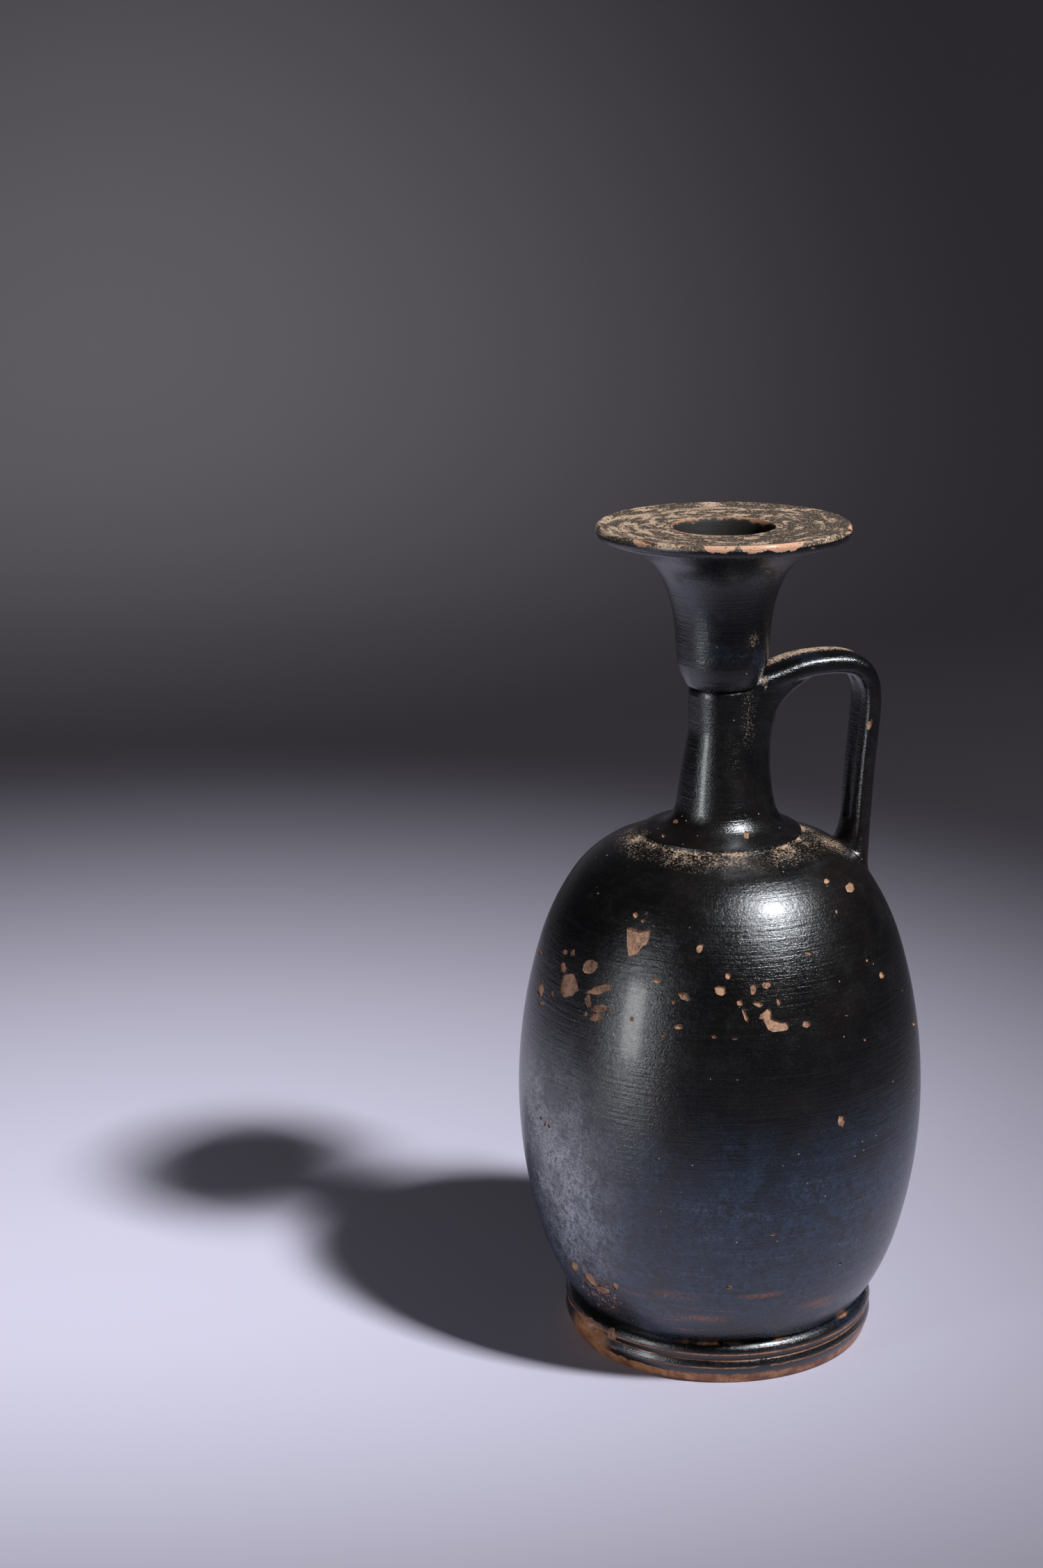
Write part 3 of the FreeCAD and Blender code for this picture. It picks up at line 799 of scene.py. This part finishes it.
# Where a mask starts and where it is full: values of a grain, or heights and radii in millimetres
slipFade = {
    "brownCloud": (0.35, 0.75),
    "greyMottle": (0.48, 0.72),
    "greyFine": (0.35, 0.65),
    "lineFilm": (0.55, 0.72),
    "linesAbove": (74.0, 84.0),
    "lineFine": (0.3, 0.6),
    "bloomTop": (88.0, 60.0),
    "bloomFoot": (24.0, 34.0),
    "mouthMottle": (0.52, 0.62),
    "bloomMottle": (0.34, 0.54),
    "bloomCloud": (0.36, 0.56),
    "bloomDots": (0.38, 0.54),
    "paleStreaks": (0.50, 0.70),
    "paleDots": (0.44, 0.60),
    "brownPatch": (0.56, 0.66),
    "silverMottle": (0.36, 0.56),
    "silverDots": (0.40, 0.56),
    "pits": (0.57, 0.62),
    "redBand": (0.58, 0.70),
    "redSpots": (0.38, 0.50),
    "redDots": (0.38, 0.54),
    "stepNear": (21.4, 19.4),
    "stepWide": (27.5, 20.0),
    "stepOutside": (18.8, 19.2),
    "stepMottle": (0.40, 0.58),
    "handleFrom": (9.0, 12.0),
    "handleTo": (37.5, 31.0),
    "handleSide": (-2.5, 1.0),
    "handleMottle": (0.36, 0.56),
    "dustAny": (0.02, 0.12),
    "dustGrains": (0.60, 0.76),
    "lipAbove": (198.6, 199.0),
    "lipOutside": (11.9, 12.6),
    "lipFar": (-16.0, 26.0),
    "lipPatch": (0.50, 0.68),
    "lipGrains": (0.61, 0.71),
    "bevel": (4.3, 3.9),
    "footLeftTop": (10.8, 9.8),
    "ringMottle": (0.42, 0.52),
    "grooveMottle": (0.38, 0.5),
    "collarOutside": (36.6, 37.2),
    "jointMottle": (0.38, 0.48),
    "footTop": (11.5, 11.0),
    "rimBand": (202.0, 202.3),
    "rimSpots": (0.05, 0.2),
    "rimFlecks": (0.61, 0.65),
    "rimAbove": (197.8, 198.4),
    "rimOutside": (28.6, 29.1),
    "holeAbove": (197.2, 198.2),
    "holeInside": (13.6, 13.2),
    "holeMottle": (0.46, 0.54),
    "scuffLoops": (0.045, 0.022),
    "scuffDots": (0.42, 0.52),
    "orangePale": (0.35, 0.65),
    "clayAbove": (12.0, 20.0),
    "orangeDeep": (0.42, 0.6),
    "clayPits": (0.62, 0.68),
    "rareSpecks": (0.50, 0.56),
    "specks": (0.075, 0.05),
    "roughDots": (0.46, 0.62),
}

# Bands between two heights in millimetres, with their soft edge
slipBand = {
    "mouthBloom": (168.0, 190.0, 4.0),
    "red": (13.5, 24.5, 2.0),
    "step": (118.0, 126.3, 0.4),
    "handleTop": (165.4, 171.0, 1.0),
    "ringLine": (4.72, 5.02, 0.10),
    "grooveLine": (5.85, 6.15, 0.12),
    "collarLine": (7.75, 8.15, 0.12),
    "jointLine": (10.25, 10.65, 0.12),
}

# How strong each layer is, and the least that the layers named least keep
slipShare = {
    "greyFilm": 0.55,
    "lineFilm": 0.4,
    "mouthBloom": 0.4,
    "bluePale": 0.75,
    "brownPatch": 0.7,
    "silverFilmAndSheen": 0.9,
    "pits": 0.85,
    "red": 0.85,
    "stepNear": 0.85,
    "stepWide": 0.58,
    "neckDust": 0.24,
    "collarDust": 0.62,
    "joinDust": 0.8,
    "rootDust": 0.62,
    "leftDust": 0.85,
    "lipThin": 0.65,
    "specks": 0.8,
    "leastMottle": 0.4,
    "leastCloud": 0.5,
    "leastDots": 0.35,
    "leastSilverDots": 0.3,
    "leastRed": 0.3,
    "leastStep": 0.35,
    "leastHandle": 0.6,
}

# How far a grain moves an edge or an amount, and how deep it stands in the bump
slipRagged = {
    "bloom": 30.0,
    "dustGrains": 0.27,
    "bevelMottle": 2.2,
    "bevelCloud": 0.8,
    "footLeft": 4.0,
    "ringLine": 0.9,
    "collarLine": 0.4,
    "jointLine": 0.9,
    "rimMottle": 2.4,
    "rimCloud": 1.8,
    "rimSpots": 1.6,
    "hole": 1.6,
    "skinBump": 0.55,
    "turningBump": 0.75,
    "wornBump": -0.6,
    "cloudBump": 0.4,
}

# Streaks brushed round the lip: patterns round and across, and how the powder gathers at the left and back
lipLook = {
    "round": 3.4,
    "across": 0.42,
    "level": 3.0,
    "grain": (1.0, 2.0, 0.6, 0.6),
    "lean": -0.6,
    "farMore": 0.08,
    "patchMore": 0.62,
    "least": 0.30,
}

speckLook = {"scale": 0.33, "randomness": 1.0}
loopMiddle = 0.5


def paintSlip(look):
    tree, place = jugPlace(slip)
    x, y, z = axesOf(tree, place)
    squares = calc(tree, "ADD", calc(tree, "POWER", x, 2.0), calc(tree, "POWER", y, 2.0))
    radius = calc(tree, "SQRT", squares)
    angle = calc(tree, "ARCTAN2", y, x)

    def grainOf(name):
        return grain(tree, place, *slipGrain[name])

    def brushOf(name):
        across, up, *rest = slipBrush[name]
        return grain(tree, stretched(tree, place, across, up), 1.0, *rest)

    def fade(value, name):
        return rise(tree, value, *slipFade[name])

    def band(value, name):
        return between(tree, value, *slipBand[name])

    def spot(name):
        return nearSpot(tree, place, *slipSpots[name])

    def spots(*names):
        return either(tree, *[spot(name) for name in names])

    def thin(mask, name):
        return part(tree, mask, slipShare[name])

    def least(mask, name):
        return atLeast(tree, mask, slipShare[name])

    def ragged(value, name, base):
        return added(tree, value, slipRagged[name], base)

    def layer(mask, below, name):
        return colorMix(tree, mask, below, look[name])

    broad, mottle, cloud = grainOf("broad"), grainOf("mottle"), grainOf("cloud")
    fine, dots = grainOf("fine"), grainOf("dots")

    # black with brown and grey clouds, and turning lines that catch a paler film
    color = layer(fade(broad, "brownCloud"), look["black"], "brownBlack")
    greyFilm = both(tree, fade(mottle, "greyMottle"), fade(fine, "greyFine"))
    color = layer(thin(greyFilm, "greyFilm"), color, "greyBlack")
    lineFilm = both(tree, fade(brushOf("lines"), "lineFilm"), fade(z, "linesAbove"), fade(fine, "lineFine"))
    color = layer(thin(lineFilm, "lineFilm"), color, "greyBlack")

    # blue-grey bloom on the lower body and on the mouth
    waver = ragged(broad, "bloom", z)
    lowBloom = both(tree, fade(waver, "bloomTop"), fade(waver, "bloomFoot"))
    mouthBloom = both(tree, band(z, "mouthBloom"), fade(mottle, "mouthMottle"))
    bloom = either(tree, lowBloom, thin(mouthBloom, "mouthBloom"))
    bloomGrain = both(tree, least(fade(mottle, "bloomMottle"), "leastMottle"),
                      least(fade(cloud, "bloomCloud"), "leastCloud"),
                      least(fade(dots, "bloomDots"), "leastDots"))
    color = layer(both(tree, bloom, bloomGrain), color, "blue")
    palePatch = both(tree, bloom, fade(brushOf("streaks"), "paleStreaks"), fade(dots, "paleDots"))
    color = layer(thin(palePatch, "bluePale"), color, "bluePale")
    brownPatch = both(tree, lowBloom, fade(grainOf("brown"), "brownPatch"))
    color = layer(thin(brownPatch, "brownPatch"), color, "brownBlack")

    # a silvery film on the left of the belly, partly the real film and partly a painted sheen that stands in
    # for the reflection of the lit floor, with pits in it and in the bloom
    filmAndSheenSpot = spots("silverLow", "silverHigh")
    silverFilmAndSheen = both(tree, filmAndSheenSpot, least(fade(mottle, "silverMottle"), "leastMottle"),
                  least(fade(dots, "silverDots"), "leastSilverDots"))
    color = layer(thin(silverFilmAndSheen, "silverFilmAndSheen"), color, "silverFilmAndSheen")
    pits = both(tree, either(tree, bloom, filmAndSheenSpot), fade(grainOf("pits"), "pits"))
    color = layer(thin(pits, "pits"), color, "black")

    # thin places where the clay shows red through the slip, low on the body
    redStreaks = brushOf("redStreaks")
    redSpots = spots("redMiddle", "redLeft", "redRight", "redFarRight")
    redBand = both(tree, fade(redStreaks, "redBand"), band(z, "red"))
    red = either(tree, redBand, both(tree, redSpots, fade(redStreaks, "redSpots")))
    red = both(tree, red, least(fade(dots, "redDots"), "leastRed"))
    color = layer(thin(red, "red"), color, "red")

    # dust: where more lies, more of the grains show
    outside = fade(radius, "stepOutside")
    stepNear = thin(both(tree, fade(radius, "stepNear"), outside), "stepNear")
    stepWide = thin(both(tree, fade(radius, "stepWide"), outside), "stepWide")
    stepDust = both(tree, either(tree, stepNear, stepWide), band(z, "step"),
                    least(fade(mottle, "stepMottle"), "leastStep"))
    handleDust = both(tree, band(z, "handleTop"), fade(x, "handleFrom"), fade(y, "handleSide"),
                      fade(x, "handleTo"), least(fade(mottle, "handleMottle"), "leastHandle"))
    patches = [thin(spot(name), name)
               for name in ("neckDust", "collarDust", "joinDust", "rootDust", "leftDust")]
    dustAmount = either(tree, stepDust, handleDust, *patches)
    dustGrain = grainOf("dust")
    dusty = both(tree, fade(dustAmount, "dustAny"),
                 fade(ragged(dustAmount, "dustGrains", dustGrain), "dustGrains"))
    color = layer(dusty, color, "dust")

    # beige streaks brushed round the top of the lip, thickest at the left and back
    lipTop = both(tree, fade(z, "lipAbove"), fade(radius, "lipOutside"))
    roundLip = addNode(tree, "ShaderNodeCombineXYZ", {
        "X": part(tree, angle, lipLook["round"]), "Y": part(tree, radius, lipLook["across"]),
        "Z": lipLook["level"]}).outputs[0]
    lipStreaks = grain(tree, roundLip, *lipLook["grain"])
    lipFar = fade(added(tree, x, lipLook["lean"], y), "lipFar")
    lipPatch = added(tree, lipFar, lipLook["farMore"], lipStreaks)
    lipAmount = added(tree, fade(lipPatch, "lipPatch"), lipLook["patchMore"], lipLook["least"])
    lipPowder = both(tree, lipTop, fade(ragged(lipAmount, "dustGrains", dustGrain), "lipGrains"))
    color = layer(thin(lipTop, "lipThin"), color, "dustThin")
    color = layer(lipPowder, color, "dust")

    # bare clay on the foot: its bevel, its left side and the ridges of its rings
    bevel = fade(ragged(mottle, "bevelMottle", ragged(cloud, "bevelCloud", z)), "bevel")
    footLeft = both(tree, spot("footLeft"), fade(ragged(cloud, "footLeft", z), "footLeftTop"))
    ringLine = both(tree, band(ragged(mottle, "ringLine", z), "ringLine"), fade(mottle, "ringMottle"))
    grooveLine = both(tree, band(z, "grooveLine"), fade(mottle, "grooveMottle"))
    collarLine = both(tree, band(ragged(fine, "collarLine", z), "collarLine"), fade(radius, "collarOutside"))
    jointLine = both(tree, band(ragged(cloud, "jointLine", z), "jointLine"),
                     spots("jointMiddle", "jointRight", "jointFarRight"), fade(mottle, "jointMottle"))
    footOnly = fade(z, "footTop")
    footMarks = either(tree, bevel, footLeft, ringLine, grooveLine, collarLine, jointLine)
    footClay = both(tree, footOnly, footMarks)

    # bare clay on the lip's edge, on the edge of the hole and in the scuffs low on the left
    rimSpots = spots("rimRight", "rimMiddle", "rimLeft", "rimFarLeft", "rimFarRight")
    rimHeight = ragged(mottle, "rimMottle", ragged(cloud, "rimCloud", z))
    rimBand = both(tree, fade(ragged(rimSpots, "rimSpots", rimHeight), "rimBand"),
                   fade(rimSpots, "rimSpots"))
    rimFlecks = both(tree, fade(grainOf("flecks"), "rimFlecks"), fade(z, "rimAbove"))
    rimEdge = both(tree, fade(radius, "rimOutside"), either(tree, rimBand, rimFlecks))
    holeEdge = both(tree, fade(z, "holeAbove"), fade(ragged(cloud, "hole", radius), "holeInside"),
                    fade(mottle, "holeMottle"))
    loops = calc(tree, "ABSOLUTE", calc(tree, "SUBTRACT", grainOf("loops"), loopMiddle))
    scuffs = both(tree, spot("scuffs"), fade(loops, "scuffLoops"), fade(dots, "scuffDots"))
    bare = either(tree, footClay, rimEdge, holeEdge, scuffs)
    clayColor = colorMix(tree, fade(cloud, "orangePale"), look["orange"], look["orangePale"])
    clayColor = layer(fade(z, "clayAbove"), clayColor, "clay")
    clayColor = layer(both(tree, footOnly, fade(mottle, "orangeDeep")), clayColor, "orangeDeep")
    clayColor = layer(fade(dots, "clayPits"), clayColor, "brownBlack")
    color = colorMix(tree, bare, color, clayColor)

    # small pale specks all over
    cells = addNode(tree, "ShaderNodeTexVoronoi", {
        "Vector": place, "Scale": speckLook["scale"], "Randomness": speckLook["randomness"]})
    specks = both(tree, fade(cells.outputs["Distance"], "specks"), fade(grainOf("rare"), "rareSpecks"))
    color = layer(thin(specks, "specks"), color, "speck")

    # gloss, dull where it is worn, and the bump of the clay's skin and the turning lines
    worn = either(tree, dusty, lipPowder, bare, specks)
    roughness = added(tree, mottle, look["glossSpread"], look["gloss"] - look["glossSpread"] / 2)
    roughness = added(tree, fade(dots, "roughDots"), look["dotRoughness"], roughness)
    roughness = numberMix(tree, worn, roughness, look["wornRoughness"])
    bumps = part(tree, grainOf("skin"), slipRagged["skinBump"])
    bumps = ragged(brushOf("turning"), "turningBump", bumps)
    bumps = ragged(worn, "wornBump", bumps)
    bumps = ragged(cloud, "cloudBump", bumps)
    finishSurface(tree, color, roughness, bumps, look)


clayLook = {
    "pale": (0.48, 0.28, 0.18),
    "middle": (0.27, 0.15, 0.10),
    "dark": (0.06, 0.038, 0.028),
    "stainGrain": (0.36, 5.0, 0.7),
    "sandGrain": (1.9, 4.0, 0.7),
    "stain": (0.40, 0.60),
    "darkSand": (0.50, 0.62),
    "darkStain": (0.36, 0.58),
    "roughness": 0.75,
    "roughSpread": 0.15,
    "specular": 0.5,
    "coat": 0.0,
    "coatRoughness": 0.15,
    "bumpDepth": 0.12,
}


def paintClay(look):
    # flaked places: pale grainy clay with darker stains
    tree, place = jugPlace(clay)
    stain = grain(tree, place, *look["stainGrain"])
    sand = grain(tree, place, *look["sandGrain"])
    color = colorMix(tree, rise(tree, stain, *look["stain"]), look["pale"], look["middle"])
    dark = both(tree, rise(tree, sand, *look["darkSand"]), rise(tree, stain, *look["darkStain"]))
    color = colorMix(tree, dark, color, look["dark"])
    roughness = added(tree, sand, look["roughSpread"], look["roughness"])
    finishSurface(tree, color, roughness, sand, look)


insideLook = {
    "slip": (0.012, 0.010, 0.008),
    "clay": (0.30, 0.15, 0.085),
    "patchGrain": (0.22, 5.0, 0.65),
    "sandGrain": (2.4, 3.0, 0.6),
    "ragged": 5.0,
    "clayAbove": (200.9, 201.5),
    "roughness": 0.6,
    "roughSpread": 0.2,
    "specular": 0.5,
    "coat": 0.0,
    "coatRoughness": 0.15,
    "bumpDepth": 0.10,
}


def paintInside(look):
    # dark inside, with bare clay round the mouth's hole
    tree, place = jugPlace(inner)
    patch = grain(tree, place, *look["patchGrain"])
    sand = grain(tree, place, *look["sandGrain"])
    height = axesOf(tree, place)["Z"]
    high = rise(tree, added(tree, patch, look["ragged"], height), *look["clayAbove"])
    color = colorMix(tree, high, look["slip"], look["clay"])
    roughness = added(tree, sand, look["roughSpread"], look["roughness"])
    finishSurface(tree, color, roughness, sand, look)


paintSlip(slipLook)
paintClay(clayLook)
paintInside(insideLook)
print("surfaces painted")

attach(jug, "root")
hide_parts("lekythos")

# Studio: a floor that sweeps up into a backdrop, with a painted pool of light, painted shade and a painted
# glow on it, a soft key light and a low strip light
studio = {
    # paper colours: pale in a painted pool of light, dark as painted shade where the light falls off, paler
    # in a painted glow on the backdrop
    "floorColor": (0.74, 0.72, 0.90),
    "shadedPaperColor": (0.042, 0.038, 0.048),
    "glowColor": (0.25, 0.235, 0.265),
    "paperRoughness": 0.9,
    "paperSpecular": 0.2,
    "floorWidth": 4.0,
    "floorFront": -1.6,
    "floorBack": 0.8,
    "backEdge": 0.01,
    "sweepRadius": 0.5,
    "sweepSteps": 10,
    "wallHeight": 1.6,
    "poolCentre": (-0.213, 0.035, 0.0),
    "poolReach": 0.554,
    "frontFade": (-0.32, 0.02),
    "glowCentre": (-0.36, 1.1, 0.12),
    "glowReach": 0.65,
    "aimHeight": 0.11,
    "keyAzimuth": -37.0,
    "keyHeight": 54.0,
    "keyDistance": 1.2,
    "keySize": (0.13, 0.13),
    "keyPower": 21.0,
    "stripAzimuth": -145.0,
    "stripHeight": 4.0,
    "stripDistance": 1.0,
    "stripSize": (0.20, 0.30),
    "stripPower": 2.6,
    "airGlow": (0.010, 0.010, 0.012),
    "airFill": (0.008, 0.008, 0.009),
}


def areaLight(kind):
    turn = math.radians(studio[kind + "Azimuth"] - view["handleTurn"])
    lift = math.radians(studio[kind + "Height"])
    aim = Vector((0, 0, studio["aimHeight"]))
    away = Vector((math.cos(lift) * math.cos(turn), math.cos(lift) * math.sin(turn), math.sin(lift)))
    bpy.ops.object.light_add(type="AREA", location=aim + away * studio[kind + "Distance"])
    lamp = bpy.context.object
    lamp.name = kind + "Light"
    lamp.rotation_mode = "QUATERNION"
    lamp.rotation_quaternion = away.to_track_quat("Z", "Y")
    lamp.data.shape = "RECTANGLE"
    lamp.data.size, lamp.data.size_y = studio[kind + "Size"]
    lamp.data.energy = studio[kind + "Power"]


areaLight("key")
areaLight("strip")


def makeFloor():
    # one sheet of paper: flat under the jug, then swept up behind it, square to the camera's view
    front, back = studio["floorFront"], studio["floorBack"]
    bpy.ops.mesh.primitive_plane_add(size=1, location=(0, (front + back) / 2, 0))
    sheet = takeActive("floor")
    sheet.scale = (studio["floorWidth"], back - front, 1)
    bpy.ops.object.transform_apply(location=True, rotation=True, scale=True)
    selectVerts(sheet, lambda co: co.y > back - studio["backEdge"])
    turn = math.pi / 2 / studio["sweepSteps"]
    run = 2 * studio["sweepRadius"] * math.sin(turn / 2)
    for step in range(studio["sweepSteps"]):
        angle = turn * (step + 0.5)
        drawOut(0, run * math.sin(angle), run * math.cos(angle))
    drawOut(0, studio["wallHeight"])
    objectMode()
    sheet.rotation_euler = (0, 0, math.radians(-view["handleTurn"]))
    bpy.ops.object.transform_apply(location=True, rotation=True, scale=True)
    bpy.ops.object.shade_smooth()
    return sheet


def paintPaper(material):
    # paper with a painted pool of light beside the jug, painted shade further out and towards the front, and
    # a painted glow on the backdrop
    material.use_nodes = True
    tree = material.node_tree
    metres = addNode(tree, "ShaderNodeTexCoord").outputs["Object"]
    turn = (0, 0, math.radians(view["handleTurn"]))
    facing = addNode(tree, "ShaderNodeMapping", {"Vector": metres, "Rotation": turn}).outputs["Vector"]
    color = studio["shadedPaperColor"]
    # painted light: a pale pool round the jug on the floor and a paler glow on the backdrop, over paper
    # painted in shade
    for patch, pale in (("glow", "glowColor"), ("pool", "floorColor")):
        away = lengthOf(tree, takeAway(tree, facing, studio[patch + "Centre"]))
        color = colorMix(tree, rise(tree, away, studio[patch + "Reach"], 0.0), color, studio[pale])
    # painted shade: the paper darkens towards the front, where the light falls off
    ahead = axesOf(tree, facing)["Y"]
    color = colorMix(tree, rise(tree, ahead, *studio["frontFade"]), studio["shadedPaperColor"], color)
    shader = tree.nodes["Principled BSDF"]
    tree.links.new(color, shader.inputs["Base Color"])
    shader.inputs["Roughness"].default_value = studio["paperRoughness"]
    shader.inputs["Specular IOR Level"].default_value = studio["paperSpecular"]


floor = makeFloor()
paper = bpy.data.materials.new("palePaper")
paintPaper(paper)
floor.data.materials.append(paper)


def fillAir():
    # both what the camera and the gloss see and what lights the surfaces are a very dim grey
    world = bpy.data.worlds.new("studioAir")
    bpy.context.scene.world = world
    world.use_nodes = True
    tree = world.node_tree
    path = addNode(tree, "ShaderNodeLightPath").outputs
    seen = either(tree, path["Is Camera Ray"], path["Is Glossy Ray"], path["Is Transmission Ray"])
    color = colorMix(tree, seen, studio["airFill"], studio["airGlow"])
    tree.links.new(color, tree.nodes["Background"].inputs["Color"])


fillAir()
bpy.context.scene.view_settings.view_transform = "Standard"
print("studio ready")
